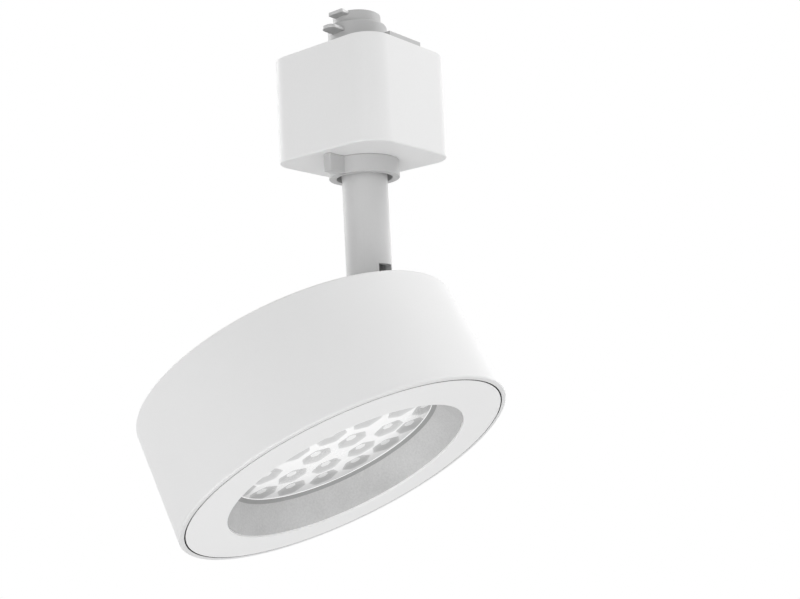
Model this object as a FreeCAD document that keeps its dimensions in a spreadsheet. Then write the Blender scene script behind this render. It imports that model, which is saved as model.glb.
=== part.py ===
"""Track spotlight: a box adapter with a twist lock, a stem that pans in it, and a drum head that tilts.

Row frame: origin on the stem's axis, level with the rim of the adapter housing. +Z is up, X runs along
the track. At rest the lock is open, the head faces -Y and is tilted tilt_rest degrees from straight down.
Lengths are in millimetres, angles in degrees.
"""
import FreeCAD, Part
import math
import os
import re
import Sketcher

from FreeCAD import Placement, Rotation, Vector

# Sizes in millimetres and degrees. A text that starts with "=" follows from sizes above it.
SIZES = (
    # fits
    ("thread_gap", 0.05, "clearance of a screw in its hole"),
    ("turn_gap", 0.06, "running clearance of the turning fits"),
    ("face_gap", 0.15, "clearance between faces that slide"),
    ("spare", 1.0, "how far a cut runs past the piece"),
    # fasteners
    ("screw_head", 2.1, "screw heads"),
    ("screw_crown", "=screw_head * 0.8", "flat top of the screw heads"),
    ("screw_high", 1.3, "height of the screw heads"),
    ("screw_rim", "=screw_high * 0.6", "height of the screw heads' straight rim"),
    ("screw_shank", 1.2, "screw shanks"),
    ("screw_hole", "=screw_shank + thread_gap", "holes of the screws"),
    ("screw_length", 5.0, "length of the screw shanks"),
    ("cross_reach", 1.2, "arm of the cross recess"),
    ("cross_half", 0.35, "half width of the cross recess"),
    ("cross_deep", 0.7, "depth of the cross recess"),
    # stem
    ("stem_radius", 6.35, "stem tube outside"),
    ("stem_bore", "=stem_radius - 1.85", "stem tube inside"),
    ("journal_radius", "=stem_radius - 0.85", "stem journal in the bridge"),
    ("journal_top", -13.6, "upper end of the stem"),
    ("clip_radius", "=journal_radius + 1.7", "retaining clip outside"),
    ("clip_inner", "=journal_radius - 0.35", "retaining clip inside"),
    ("clip_thick", 1.2, "retaining clip"),
    ("clip_tab", "=clip_radius + 1.7", "stop tab of the clip from the axis"),
    ("clip_tab_half", 1.0, "half width of the stop tab"),
    ("wave_thick", 0.5, "spring washer"),
    ("thrust_thick", 0.5, "thrust washer"),
    ("pivot_level", -67.9, "height of the tilt pivot"),
    ("slot_top", -58.7, "upper end of the stem's slot"),
    ("slot_width", 5.3, "width of the stem's slot"),
    ("flat_from_axis", "=stem_radius - 0.75", "seats of the pivot screw from the axis"),
    ("flat_radius", 3.7, "seats of the pivot screw"),
    ("pivot_shank", 2.0, "pivot screw shank"),
    ("pivot_head", 3.3, "pivot screw head and nut"),
    ("pivot_head_high", 1.4, "height of the pivot screw's head and nut"),
    ("pivot_end", "=flat_from_axis + pivot_head_high * 0.9", "end of the pivot screw from the axis"),
    ("brake_thick", 0.4, "friction washers beside the lug"),
    ("brake_radius", "=stem_radius - 0.85", "friction washers outside"),
    ("cable_radius", 1.3, "cable in the stem"),
    ("cable_top", 4.0, "upper end of the cable in the turret"),
    ("cable_gap", 0.5, "lower end of the cable above the tilt lug"),
    ("bush_deep", 4.0, "cable bush in the stem"),
    ("bush_flange", 1.0, "flange of the cable bush"),
    ("bush_rim", "=journal_radius - 0.2", "rim of the cable bush"),
    # adapter housing and lid
    ("box_x", 35.9, "housing length along the track"),
    ("box_y", 38.3, "housing width across the track"),
    ("box_height", 29.2, "housing height"),
    ("box_corner", 7.3, "radius of the housing's upright corners"),
    ("box_edge", 0.5, "rounding of the housing's lower edge"),
    ("box_wall", 1.7, "housing wall"),
    ("floor", 2.0, "housing floor"),
    ("lid_thick", 2.0, "lid plate"),
    ("lid_gap", 0.1, "gap round the lid"),
    ("rib_length", 13.4, "guide rib along the track"),
    ("rib_thick", 2.0, "guide rib thickness"),
    ("rib_height", 2.5, "guide rib above the rim"),
    ("rib_inner", "=box_y / 2 - 4.25", "middle to the inner face of a rib"),
    ("boss_x", "=box_x / 2 - 5.75", "screw boss from the middle, along the track"),
    ("boss_y", "=box_y / 2 - 5.75", "screw boss from the middle, across the track"),
    ("boss_radius", 2.6, "screw boss radius"),
    # bridge that carries the stem
    ("bridge_level", -20.0, "underside of the bridge"),
    ("bridge_thick", 3.0, "bridge plate"),
    ("bridge_half", 3.0, "half width of the bridge arms"),
    ("stop_place", "=clip_radius + 1", "pan stop post from the axis"),
    ("stop_radius", 0.7, "pan stop post radius"),
    ("stop_height", 1.9, "pan stop post height"),
    ("hub_radius", "=stop_place + 0.8", "bridge hub"),
    # twist lock
    ("collar_bore", "=stem_radius + 1.44", "lock collar bore"),
    ("collar_radius", "=collar_bore + 2.08", "lock collar outside"),
    ("collar_height", 4.7, "lock collar below the housing"),
    ("neck_radius", "=collar_bore + 1.41", "collar neck in the housing floor"),
    ("neck_height", 4.6, "collar neck above the collar's shoulder"),
    ("lever_reach", "=collar_radius + 5.63", "lever tip from the axis"),
    ("lever_half", 1.3, "half width of the lever"),
    ("lever_round", 0.6, "rounding of the lever's tip"),
    ("yoke_radius", "=neck_radius + 2.8", "yoke ring and legs"),
    ("yoke_thick", 2.0, "yoke ring height"),
    ("leg_inner", "=yoke_radius - 1.6", "inner face of a yoke leg"),
    ("leg_half", 4.0, "half width of a yoke leg"),
    ("flange_level", -7.0, "top of the turret's flange"),
    ("flange_thick", 2.0, "turret flange"),
    ("flange_radius", "=yoke_radius + 0.7", "turret flange"),
    ("turret_radius", 8.35, "lower turret"),
    ("turret_step", 9.4, "turret shoulder above the rim"),
    ("turret_round", 0.8, "rounding of the turret's shoulder"),
    ("turret_neck", "=turret_radius - 1.6", "upper turret"),
    ("turret_top", 12.5, "top of the turret"),
    ("turret_edge", 0.27, "rounding of the turret's top"),
    ("turret_bore", "=turret_radius - 1.95", "inside of the lower turret"),
    ("turret_shelf", 1.2, "roof over the lower turret's bore"),
    ("neck_bore", "=turret_neck - 1.55", "inside of the upper turret"),
    ("turret_roof", 2.0, "solid top of the turret"),
    ("contact_thick", 1.0, "contact blades"),
    ("contact_slack", 0.1, "clearance of a blade in its slot"),
    ("live_level", 11.2, "underside of the upper blade"),
    ("live_reach", "=turret_radius + 0.95", "upper blade from the axis"),
    ("live_half", 2.6, "half width of the upper blade"),
    ("live_round", 0.5, "rounding of the upper blade's end"),
    ("neutral_level", 6.1, "underside of the lower blade"),
    ("neutral_reach", "=turret_radius + 4.95", "lower blade from the axis"),
    ("neutral_half", 2.2, "half width of the lower blade"),
    ("neutral_round", "=neutral_half * 0.8", "rounding of the lower blade's end"),
    ("contact_inner", 2.8, "inner end of the blades from the axis"),
    ("tab_thick", 0.9, "solder tab of a blade"),
    ("tab_length", 2.5, "solder tab below its blade"),
    # head
    ("tilt_rest", 29.4, "tilt of the head at rest, from straight down"),
    ("head_radius", 49.0, "head outside"),
    ("head_depth", 33.9, "head front to back"),
    ("head_edge", 0.6, "rounding of the head's edges"),
    ("pivot_back", "=head_radius - 16.2", "pivot from the head's axis"),
    ("pivot_above", 1.95, "pivot above the head's back face"),
    ("shell_wall", 1.5, "shell wall"),
    ("band_wall", 3.0, "shell wall along its middle band"),
    ("band_front", "=head_depth - 11.9", "front shoulder of the middle band"),
    ("band_back", "=head_depth - 6.8", "back shoulder of the middle band"),
    ("rim_gap", 0.25, "gap line round the bezel and the back cover"),
    ("post_radius", 3.2, "posts of the back cover screws"),
    ("post_gap", 0.3, "shell posts above the heat sink"),
    ("post_shift", 0.6, "shell posts out from the screws, into the band"),
    ("post_bore", 4.0, "depth of the screw holes in the shell posts"),
    # front of the head
    ("bezel_thick", 1.6, "bezel face"),
    ("bezel_edge", 0.25, "rounding of the bezel's front edges"),
    ("bezel_lip", 0.6, "bezel face over the baffle"),
    ("bezel_lip_width", 1.5, "width of the bezel's lip"),
    ("bezel_skirt", 8.0, "depth of the bezel's skirt"),
    ("mouth_radius", "=head_radius - 13.5", "opening of the bezel"),
    ("throat_radius", "=mouth_radius - 4.1", "narrow end of the baffle"),
    ("throat_depth", "=head_depth - 25.4", "depth of the baffle"),
    ("baffle_wall", 1.2, "baffle wall"),
    ("baffle_flange", 1.0, "flange of the baffle"),
    ("ring_radius", "=throat_radius - 1", "opening of the lens ring"),
    ("ring_thick", 0.5, "lens ring"),
    ("lens_radius", "=throat_radius + 5.9", "lens plate"),
    ("lens_thick", 1.5, "lens plate"),
    ("lens_gap", 0.1, "gap round the lens plate"),
    ("cell_front", 5.3, "radius of a lens cell at the plate"),
    ("cell_back", 2.7, "radius of a lens cell at its tip"),
    ("cell_high", 5.8, "height of a lens cell"),
    ("cell_root", 0.2, "how far a lens cell runs into the plate"),
    ("ring_one", 11.2, "first ring of cells"),
    ("ring_two", 22.2, "second ring of cells"),
    ("ring_three", 31.4, "third ring of cells"),
    ("turn_one", 12.0, "turn of the first ring of cells"),
    ("turn_two", 21.5, "turn of the second ring of cells"),
    ("turn_three", 12.0, "turn of the third ring of cells"),
    ("holder_wall", 2.0, "wall of the lens holder"),
    ("board_radius", "=head_radius - 5.4", "lamp board"),
    ("board_depth", "=head_depth - 16.5", "front of the lamp board"),
    ("board_thick", 1.6, "lamp board"),
    ("board_screw_place", "=head_radius - 7.2", "lamp board screws from the middle"),
    ("board_screw_length", "=screw_length - 0.5", "length of the lamp board screws"),
    ("chip_size", 3.4, "lamp chip"),
    ("chip_high", 0.6, "lamp chip"),
    ("fin_back", "=band_back - 0.6", "back of the cooling fins"),
    ("fin_inner", 11.0, "inner end of a fin"),
    ("fin_outer", "=head_radius - 10.5", "outer end of a fin"),
    ("fin_thick", 1.2, "cooling fin"),
    ("fin_count", 19, "number of cooling fins"),
    ("fin_sweep", 270.0, "arc that the fins cover"),
    ("sink_hub", "=fin_inner + 1", "hub that the fins grow from"),
    # back of the head
    ("cover_thick", 2.5, "back cover plate"),
    ("cover_skirt", 1.75, "skirt of the back cover"),
    ("cover_screw_place", "=head_radius - 6.4", "back cover screws from the middle"),
    ("cover_screw_length", "=screw_length + 3.5", "length of the back cover screws"),
    ("well_half", "=flat_from_axis + pivot_head_high + 0.6", "half width of the well for the stem"),
    ("well_wall", 1.6, "walls of the well"),
    ("well_floor", 2.0, "floor of the well"),
    ("well_near", "=stem_radius + 7.15", "well from the pivot towards the rim"),
    ("well_far", 7.0, "well from the pivot towards the middle"),
    ("well_corner", 3.0, "corners of the well"),
    ("vent_inner", 17.0, "inner end of a vent"),
    ("vent_outer", "=head_radius - 16", "outer end of a vent"),
    ("vent_width", 2.2, "vent"),
    ("vent_turn", 17.0, "turn from one vent to the next"),
    ("lug_thick", "=slot_width - 2 * brake_thick - 0.2", "tilt lug"),
    ("lug_radius", "=slot_top - pivot_level - 2.2", "round end of the tilt lug"),
    ("lug_flange", 1.8, "flange of the tilt lug"),
    ("lug_flange_x", 8.0, "half length of the lug's flange"),
    ("lug_flange_y", 8.6, "half width of the lug's flange"),
    ("lug_slack", 0.2, "clearance of the lug in the well's floor"),
    ("lug_screw_x", "=lug_flange_x - screw_head - 0.3", "lug screws to either side of the pivot"),
    ("lug_screw_y", 5.0, "lug screws from the pivot towards the rim"),
    ("lug_screw_length", "=lug_flange + well_floor - 0.3", "length of the lug screws"),
    ("channel_place", 4.2, "cable channel from the pivot"),
    ("channel_radius", 1.35, "cable channel"),
    ("channel_slack", 0.15, "clearance of the cable in its channel"),
    ("channel_rest", 1.8, "end of the head's cable below the lug's round end"),
    ("terminal_half", 4.6, "half width of the terminal block"),
    ("terminal_near", 4.0, "terminal block from the cable towards the rim"),
    ("terminal_far", 5.0, "terminal block from the cable towards the middle"),
    ("terminal_high", 2.7, "terminal block"),
    ("driver_level", "=band_back + 0.5", "front of the driver board"),
    ("driver_thick", 1.2, "driver board"),
    ("driver_half", "=head_radius - 25", "half length of the driver board"),
    ("driver_near", "=20.8 - pivot_back", "edge of the driver board by the well"),
    ("driver_far", "=head_radius - 21", "far edge of the driver board"),
    ("foot_inset", 4.0, "feet of the driver board from its edges"),
    ("foot_radius", 2.0, "feet of the driver board"),
)

CELL_RINGS = (("ring_one", "turn_one", 6), ("ring_two", "turn_two", 12), ("ring_three", "turn_three", 18))
# driver parts: label, left, right, near and far from the board's edge by the well, height
DRIVER_PARTS = (
    ("driver_choke", "-16", "-4", "12", "24", "2.2"),
    ("driver_chip", "4", "10", "14", "22", "1.4"),
    ("driver_capacitor", "12", "20", "6", "14", "2.2"),
)
VENTS_A_SIDE = 6
BOSSES = ((-1, -1), (1, 1), (-1, 1), (1, -1))

doc = FreeCAD.newDocument("track_spotlight")
sheet = doc.addObject("Spreadsheet::Sheet", "sizes")
pieces = []
head_pieces = []


def fill_sheet():
    for row, (alias, value, note) in enumerate(SIZES, start=1):
        sheet.set(f"A{row}", note)
        sheet.set(f"B{row}", str(value))
        sheet.setAlias(f"B{row}", alias)
    doc.recompute()


def link(text):
    """Turn size names in a formula into links to the sheet."""
    return re.sub(r"\b([a-z]\w*)\b(?!\()", r"sizes.\1", text)


def bind(thing, **formulas):
    for key, text in formulas.items():
        thing.setExpression(key.replace("__", "."), link(text))


def size(alias):
    return float(sheet.get(alias))


def keep(piece, label, on_head=False):
    piece.Label = label
    pieces.append(piece)
    if on_head:
        head_pieces.append(piece)
    return piece


# ---------------------------------------------------------------- sketches and features


def new_body(label, on_head=False):
    return keep(doc.addObject("PartDesign::Body", label + "_body"), label, on_head)


def origin_part(body, role):
    return next(item for item in body.Origin.OriginFeatures if item.Role == role)


def new_sketch(body, role="XY_Plane", lift=None, turn=0.0):
    sketch = body.newObject("Sketcher::SketchObject", "sketch")
    sketch.AttachmentSupport = [(origin_part(body, role), "")]
    sketch.MapMode = "FlatFace"
    sketch.AttachmentOffset = Placement(Vector(), Rotation(Vector(0, 0, 1), turn))
    if lift is not None:
        bind(sketch, AttachmentOffset__Base__z=lift)
    return sketch


def fix_point(sketch, geometry, point, across, along):
    for kind, formula in (("DistanceX", across), ("DistanceY", along)):
        index = sketch.addConstraint(Sketcher.Constraint(kind, -1, 1, geometry, point, 1.0))
        bind(sketch, **{f"Constraints[{index}]": formula})


def draw_polygon(sketch, points):
    """Closed outline through points given as formulas."""
    first = sketch.GeometryCount
    count = len(points)
    corners = [Vector(20 + 10 * math.cos(math.tau * i / count), 10 * math.sin(math.tau * i / count), 0)
               for i in range(count)]
    for i in range(count):
        sketch.addGeometry(Part.LineSegment(corners[i], corners[(i + 1) % count]), False)
    for i in range(count):
        sketch.addConstraint(Sketcher.Constraint("Coincident", first + i, 2, first + (i + 1) % count, 1))
    for i, (across, along) in enumerate(points):
        fix_point(sketch, first + i, 1, across, along)
    return sketch


def draw_circle(sketch, radius, across="0", along="0"):
    index = sketch.addGeometry(Part.Circle(Vector(), Vector(0, 0, 1), 1.0), False)
    ring = sketch.addConstraint(Sketcher.Constraint("Radius", index, 1.0))
    bind(sketch, **{f"Constraints[{ring}]": radius})
    fix_point(sketch, index, 3, across, along)
    return sketch


def rectangle(left, right, low, high):
    return [(left, low), (right, low), (right, high), (left, high)]


def hexagon(radius):
    turns = [math.tau * i / 6 for i in range(6)]
    return [(f"{radius} * {math.cos(turn):.4f}", f"{radius} * {math.sin(turn):.4f}") for turn in turns]


def turned(body, points):
    """Full turn of an outline, given as radius and height, about the Z axis."""
    sketch = draw_polygon(new_sketch(body, "XZ_Plane"), points)
    feature = body.newObject("PartDesign::Revolution", "turned")
    feature.Profile = sketch
    feature.ReferenceAxis = (sketch, ["V_Axis"])
    feature.Angle = 360
    doc.recompute()
    return feature


def pad(body, sketch, length, reverse=False, middle=False):
    feature = body.newObject("PartDesign::Pad", "pad")
    feature.Profile = sketch
    feature.Reversed = reverse
    feature.Midplane = middle
    bind(feature, Length=length)
    doc.recompute()
    return feature


def pocket(body, sketch, length, reverse=False, middle=False):
    before = body.Shape.Volume
    feature = body.newObject("PartDesign::Pocket", "pocket")
    feature.Profile = sketch
    feature.Reversed = reverse
    feature.Midplane = middle
    bind(feature, Length=length)
    doc.recompute()
    if body.Shape.Volume > before - 1e-6:
        raise RuntimeError(f"a pocket cuts nothing in {body.Label}")
    return feature


def fillet(body, base, wanted, radius):
    """Round the edges that the test accepts."""
    names = [f"Edge{i}" for i, edge in enumerate(base.Shape.Edges, start=1) if wanted(edge)]
    if not names:
        raise RuntimeError(f"no edge to round in {body.Label}")
    feature = body.newObject("PartDesign::Fillet", "rounded")
    feature.Base = (base, names)
    bind(feature, Radius=radius)
    doc.recompute()
    return feature


def repeat_round(body, feature, count, sweep="360"):
    pattern = body.newObject("PartDesign::PolarPattern", "pattern")
    pattern.Originals = [feature]
    pattern.Axis = (origin_part(body, "Z_Axis"), [""])
    bind(pattern, Angle=sweep, Occurrences=count)
    body.Tip = pattern
    doc.recompute()
    return pattern


def upright(edge, reach_x=0.0):
    """True for a straight edge along Z that stands at least reach_x from the YZ plane."""
    box = edge.BoundBox
    return box.ZLength > 0.5 and box.XLength < 1e-6 and box.YLength < 1e-6 and abs(box.XMin) > reach_x


def round_edge_at(edge, radius, height):
    box = edge.BoundBox
    return abs(box.ZMax - height) < 1e-4 and box.ZLength < 1e-6 and abs(box.XLength - 2 * radius) < 1e-3


# ---------------------------------------------------------------- primitives and booleans


def block(left, right, near, far, low, high):
    item = doc.addObject("Part::Box", "block")
    bind(item, Length=f"({right}) - ({left})", Width=f"({far}) - ({near})", Height=f"({high}) - ({low})",
         Placement__Base__x=left, Placement__Base__y=near, Placement__Base__z=low)
    return item


def rod(radius, low, high, across="0", along="0"):
    item = doc.addObject("Part::Cylinder", "rod")
    bind(item, Radius=radius, Height=f"({high}) - ({low})",
         Placement__Base__x=across, Placement__Base__y=along, Placement__Base__z=low)
    return item


def join(items):
    item = doc.addObject("Part::MultiFuse", "joined")
    item.Shapes = items
    item.Refine = True
    return item


def cut(base, tool):
    item = doc.addObject("Part::Cut", "cut")
    item.Base = base
    item.Tool = tool
    item.Refine = True
    return item


def common(base, tool):
    item = doc.addObject("Part::Common", "common")
    item.Base = base
    item.Tool = tool
    return item


# ---------------------------------------------------------------- fasteners


def make_screw(label, place, on_head=False, length="screw_length"):
    """Pan head screw with a cross recess: its seat is at its own origin and its head stands along +Z."""
    body = new_body(label, on_head)
    turned(body, [("0", f"-({length})"), ("screw_shank", f"-({length})"), ("screw_shank", "0"),
                  ("screw_head", "0"), ("screw_head", "screw_rim"), ("screw_crown", "screw_high"),
                  ("0", "screw_high")])
    arm, half = "cross_reach", "cross_half"
    left, short = "-" + arm, "-" + half
    cross = [(arm, half), (half, half), (half, arm), (short, arm), (short, half), (left, half),
             (left, short), (short, short), (short, left), (half, left), (half, short), (arm, short)]
    pocket(body, draw_polygon(new_sketch(body, lift="screw_high"), cross), "cross_deep")
    body.Placement = place
    return body


# ---------------------------------------------------------------- adapter


def make_housing():
    body = new_body("adapter_housing")
    low = -size("box_height")
    outline = rectangle("-box_x / 2", "box_x / 2", "-box_y / 2", "box_y / 2")
    pad(body, draw_polygon(new_sketch(body), outline), "box_height", reverse=True)
    inside = rectangle("-box_x / 2 + box_wall", "box_x / 2 - box_wall",
                       "-box_y / 2 + box_wall", "box_y / 2 - box_wall")
    hollow = pocket(body, draw_polygon(new_sketch(body), inside), "box_height - floor")
    limit = size("box_x") / 2 - size("box_wall") / 2
    rounded = fillet(body, hollow, lambda edge: upright(edge) and not upright(edge, limit),
                     "box_corner - box_wall")
    rounded = fillet(body, rounded, lambda edge: upright(edge, limit), "box_corner")
    fillet(body, rounded, lambda edge: abs(edge.BoundBox.ZMax - low) < 1e-4, "box_edge")
    hole = draw_circle(new_sketch(body, lift="-box_height"), "neck_radius + turn_gap")
    pocket(body, hole, "floor", reverse=True)
    for side_x, side_y in BOSSES:
        for_lid = side_x * side_y > 0
        height = "box_height - floor - lid_thick" if for_lid else "bridge_level + box_height - floor"
        spot = (f"{side_x} * boss_x", f"{side_y} * boss_y")
        base = new_sketch(body, lift="floor - box_height")
        pad(body, draw_circle(base, "boss_radius", *spot), height)
        mouth = "-lid_thick" if for_lid else "bridge_level"
        bore = draw_circle(new_sketch(body, lift=mouth), "screw_hole", *spot)
        pocket(body, bore, "screw_length")


def make_lid():
    body = new_body("adapter_lid")
    outline = rectangle("-box_x / 2 + box_wall + lid_gap", "box_x / 2 - box_wall - lid_gap",
                        "-box_y / 2 + box_wall + lid_gap", "box_y / 2 - box_wall - lid_gap")
    plate = pad(body, draw_polygon(new_sketch(body), outline), "lid_thick", reverse=True)
    fillet(body, plate, upright, "box_corner - box_wall - lid_gap")
    for side in (-1, 1):
        rib = rectangle("-rib_length / 2", "rib_length / 2", f"{side} * rib_inner",
                        f"{side} * (rib_inner + rib_thick)")
        pad(body, draw_polygon(new_sketch(body), rib), "rib_height")
    pocket(body, draw_circle(new_sketch(body), "turret_radius + turn_gap"), "lid_thick")
    for side in (-1, 1):
        spot = (f"{side} * boss_x", f"{side} * boss_y")
        pocket(body, draw_circle(new_sketch(body), "screw_hole", *spot), "lid_thick")
        recess = draw_circle(new_sketch(body), "screw_head + lid_gap", *spot)
        pocket(body, recess, "screw_high + 2 * lid_gap")


def make_bridge():
    """Bar across the housing, from corner boss to corner boss, with the bore that the stem turns in."""
    top = "bridge_level + bridge_thick"
    span = math.hypot(size("boss_x"), size("boss_y"))
    turn = math.degrees(math.atan2(size("boss_y"), -size("boss_x")))
    bar = doc.addObject("Part::Box", "bar")
    bar.Length = 2 * span
    bind(bar, Width="2 * bridge_half", Height="bridge_thick")
    along = Rotation(Vector(0, 0, 1), turn)
    corner = along.multVec(Vector(-span, -size("bridge_half"), 0))
    bar.Placement = Placement(corner + Vector(0, 0, size("bridge_level")), along)
    ends = [rod("bridge_half", "bridge_level", top, f"{s} * boss_x", f"{-s} * boss_y") for s in (-1, 1)]
    hub = rod("hub_radius", "bridge_level", top)
    post = rod("stop_radius", top, f"{top} + stop_height", "0", "-stop_place")
    bores = [rod("journal_radius + turn_gap", "bridge_level", top)]
    for side in (-1, 1):
        spot = (f"{side} * boss_x", f"{-side} * boss_y")
        bores.append(rod("screw_hole", "bridge_level", top, *spot))
    keep(cut(join([bar, hub, post] + ends), join(bores)), "stem_bridge")


def make_adapter_screws():
    lid_seat = -size("screw_high") - 2 * size("lid_gap")
    bridge_seat = size("bridge_level") + size("bridge_thick")
    for number, side in enumerate((-1, 1), start=1):
        x, y = side * size("boss_x"), side * size("boss_y")
        make_screw(f"lid_screw_{number}", Placement(Vector(x, y, lid_seat), Rotation()))
        make_screw(f"bridge_screw_{number}", Placement(Vector(x, -y, bridge_seat), Rotation()))


# ---------------------------------------------------------------- twist lock


def make_collar():
    body = new_body("lock_collar")
    shoulder = "-box_height - face_gap"
    low = f"{shoulder} - collar_height"
    high = f"{shoulder} + neck_height"
    turned(body, [("collar_bore", low), ("collar_radius", low), ("collar_radius", shoulder),
                  ("neck_radius", shoulder), ("neck_radius", high), ("collar_bore", high)])
    middle = "(collar_radius + collar_bore) / 2"
    outline = rectangle("-lever_reach", f"-{middle}", "-lever_half", "lever_half")
    lever = pad(body, draw_polygon(new_sketch(body, lift=low), outline), "collar_height")
    tip = size("lever_reach") - 0.1
    fillet(body, lever, lambda edge: upright(edge, tip), "lever_round")


def make_yoke():
    """Ring on the collar's neck with two legs that carry the turret round with the collar."""
    body = new_body("lock_yoke")
    low = "-box_height + floor + 2 * face_gap"
    inner, high = "neck_radius + thread_gap", f"{low} + yoke_thick"
    turned(body, [(inner, low), ("yoke_radius", low), ("yoke_radius", high), (inner, high)])
    for side in (-1, 1):
        leg = rectangle(f"{side} * leg_inner", f"{side} * yoke_radius", "-leg_half", "leg_half")
        base = new_sketch(body, lift=f"{low} + yoke_thick / 2")
        pad(body, draw_polygon(base, leg), f"flange_level - flange_thick - ({low} + yoke_thick / 2)")


def make_turret():
    body = new_body("lock_turret")
    under = "flange_level - flange_thick"
    bore_top = "turret_top - turret_roof"
    shelf = "turret_step - turret_shelf"
    outline = [("turret_bore", under), ("flange_radius", under), ("flange_radius", "flange_level"),
               ("turret_radius", "flange_level"), ("turret_radius", "turret_step"),
               ("turret_neck", "turret_step"), ("turret_neck", "turret_top"), ("0", "turret_top"),
               ("0", bore_top), ("neck_bore", bore_top), ("neck_bore", shelf), ("turret_bore", shelf)]
    solid = turned(body, outline)
    edge_radius, step = size("turret_radius"), size("turret_step")
    rounded = fillet(body, solid, lambda edge: round_edge_at(edge, edge_radius, step), "turret_round")
    neck, top = size("turret_neck"), size("turret_top")
    fillet(body, rounded, lambda edge: round_edge_at(edge, neck, top), "turret_edge")
    for level, half in (("live_level", "live_half"), ("neutral_level", "neutral_half")):
        slot = rectangle("-yoke_radius", "-contact_inner + contact_slack",
                         f"-{half} - contact_slack", f"{half} + contact_slack")
        pocket(body, draw_polygon(new_sketch(body, lift=f"{level} - contact_slack"), slot),
               "contact_thick + 2 * contact_slack", reverse=True)
    drop = rectangle("-contact_inner - tab_thick - contact_slack", "-contact_inner + contact_slack",
                     "-live_half / 2 - contact_slack", "live_half / 2 + contact_slack")
    pocket(body, draw_polygon(new_sketch(body, lift="live_level"), drop), f"live_level - ({bore_top})")


def make_contact(label, level, reach, half, corner):
    """Flat blade through the turret's wall, with a solder tab that hangs down inside."""
    body = new_body(label)
    lift = new_sketch(body, lift=level)
    outline = rectangle(f"-{reach}", "-contact_inner", f"-{half}", half)
    blade = pad(body, draw_polygon(lift, outline), "contact_thick")
    tip = size(reach) - 0.1
    fillet(body, blade, lambda edge: upright(edge, tip), corner)
    tab = rectangle("-contact_inner - tab_thick", "-contact_inner", f"-{half} / 2", f"{half} / 2")
    pad(body, draw_polygon(new_sketch(body, lift=level), tab), "tab_length", reverse=True)


# ---------------------------------------------------------------- stem


def make_stem():
    body = new_body("stem_blank")
    pieces.remove(body)
    shoulder = "bridge_level - face_gap - thrust_thick"
    clip_low = "bridge_level + bridge_thick + face_gap + wave_thick"
    end = "pivot_level - stem_radius"
    groove, clip_high = "clip_inner - thread_gap", f"{clip_low} + clip_thick"
    turned(body, [("stem_bore", end), ("stem_radius", end), ("stem_radius", shoulder),
                  ("journal_radius", shoulder), ("journal_radius", clip_low), (groove, clip_low),
                  (groove, clip_high), ("journal_radius", clip_high), ("journal_radius", "journal_top"),
                  ("stem_bore", "journal_top")])
    slot = rectangle("-slot_width / 2", "slot_width / 2", f"{end} - spare", "slot_top")
    pocket(body, draw_polygon(new_sketch(body, "XZ_Plane"), slot), "4 * stem_radius", middle=True)
    hole = draw_circle(new_sketch(body, "YZ_Plane"), "pivot_shank + thread_gap", "0", "pivot_level")
    pocket(body, hole, "4 * stem_radius", middle=True)
    for lift, reverse in (("flat_from_axis", True), ("-flat_from_axis", False)):
        seat = draw_circle(new_sketch(body, "YZ_Plane", lift=lift), "flat_radius", "0", "pivot_level")
        pocket(body, seat, "stem_radius", reverse=reverse)
    upper = block("-2 * stem_radius", "2 * stem_radius", "-stem_radius - spare", "stem_radius + spare",
                  "pivot_level", "journal_top + spare")
    eye = doc.addObject("Part::Cylinder", "eye")
    bind(eye, Radius="stem_radius", Height="4 * stem_radius", Placement__Base__z="pivot_level")
    eye.Placement.Rotation = Rotation(Vector(0, 1, 0), 90)
    bind(eye, Placement__Base__x="-2 * stem_radius")
    keep(common(body, join([upper, eye])), "stem_tube")


def make_stem_washers():
    under = "bridge_level - face_gap - thrust_thick"
    over = "bridge_level + bridge_thick + face_gap"
    levels = (("thrust_washer", under, "thrust_thick", "stem_radius"),
              ("spring_washer", over, "wave_thick", "clip_radius"))
    for label, low, thick, outer in levels:
        body = new_body(label)
        turned(body, [("journal_radius + thread_gap", low), (outer, low), (outer, f"{low} + {thick}"),
                      ("journal_radius + thread_gap", f"{low} + {thick}")])


def make_clip():
    """Open retaining ring with the tab that meets the pan stop."""
    body = new_body("stem_clip")
    low = "bridge_level + bridge_thick + face_gap + wave_thick"
    turned(body, [("clip_inner", low), ("clip_radius", low), ("clip_radius", f"{low} + clip_thick"),
                  ("clip_inner", f"{low} + clip_thick")])
    tab = rectangle("-clip_tab_half", "clip_tab_half", "(clip_inner + clip_radius) / 2", "clip_tab")
    pad(body, draw_polygon(new_sketch(body, lift=low), tab), "clip_thick")
    mouth = rectangle("-2 * clip_tab_half", "2 * clip_tab_half", "-clip_radius - spare", "0")
    pocket(body, draw_polygon(new_sketch(body, lift=low), mouth), "clip_thick", reverse=True)


def along_x(body):
    """Lay a piece that was turned about Z along X through the tilt pivot."""
    body.Placement = Placement(Vector(0, 0, size("pivot_level")), Rotation(Vector(0, 1, 0), 90))


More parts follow.
